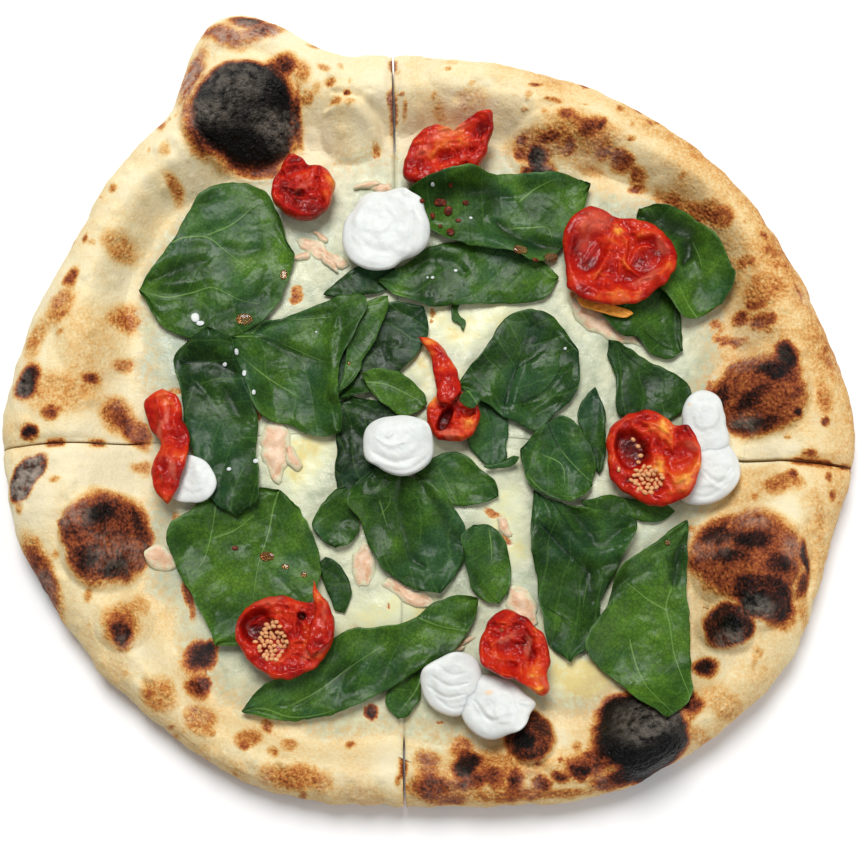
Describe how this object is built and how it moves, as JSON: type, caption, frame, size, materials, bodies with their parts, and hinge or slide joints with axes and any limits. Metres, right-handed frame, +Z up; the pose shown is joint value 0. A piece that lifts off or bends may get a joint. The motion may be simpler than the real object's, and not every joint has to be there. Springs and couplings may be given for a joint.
{
  "type": "white pizza",
  "caption": "Round white pizza cut in quarters, with a tall charred rim, melted cheese, spinach leaves, roasted tomatoes, salmon flakes and cream cheese dollops.",
  "frame": {"origin": "on the surface the pizza lies on, under the middle of its bounding box", "axes": "+Z up, +X to the right and -Y towards the front edge, which is the lower edge of the picture"},
  "size_m": [0.3246, 0.31, 0.0276],
  "materials": {
    "dough": "matt baked dough, pale and floury with golden and charred patches",
    "cheese": "glossy melted white cheese",
    "spinach": "satin green leaf with paler veins",
    "tomato": "wet red tomato skin and flesh",
    "salmon": "soft pink cooked fish, slightly moist",
    "cream": "smooth white whipped cream cheese"
  },
  "bodies": {
    "root": {"dough_back_right": "dough", "dough_back_left": "dough", "dough_front_left": "dough", "dough_front_right": "dough", "cheese_back_right": "cheese", "cheese_back_left": "cheese", "cheese_front_left": "cheese", "cheese_front_right": "cheese", "salmon_01": "salmon", "salmon_02": "salmon", "salmon_03": "salmon", "salmon_04": "salmon", "salmon_05": "salmon", "salmon_06": "salmon", "salmon_07": "salmon", "salmon_08": "salmon", "salmon_09": "salmon", "spinach_01": "spinach", "spinach_02": "spinach", "spinach_03": "spinach", "spinach_04": "spinach", "spinach_05": "spinach", "spinach_06": "spinach", "spinach_07": "spinach", "spinach_08": "spinach", "spinach_09": "spinach", "spinach_10": "spinach", "spinach_11": "spinach", "spinach_12": "spinach", "spinach_13": "spinach", "spinach_14": "spinach", "spinach_15": "spinach", "spinach_16": "spinach", "spinach_17": "spinach", "spinach_18": "spinach", "spinach_19": "spinach", "spinach_20": "spinach", "spinach_21": "spinach", "spinach_22": "spinach", "spinach_23": "spinach", "spinach_24": "spinach", "spinach_25": "spinach", "spinach_26": "spinach", "spinach_27": "spinach", "spinach_28": "spinach", "spinach_29": "spinach", "tomato_wedge": "tomato", "tomato_twist": "tomato", "tomato_ball": "tomato", "tomato_heart": "tomato", "tomato_curled": "tomato", "tomato_ring": "tomato", "tomato_strip": "tomato", "tomato_chunk": "tomato", "cream_01": "cream", "cream_02": "cream", "cream_03": "cream", "cream_04": "cream", "cream_05": "cream"}
  },
  "joints": []
}
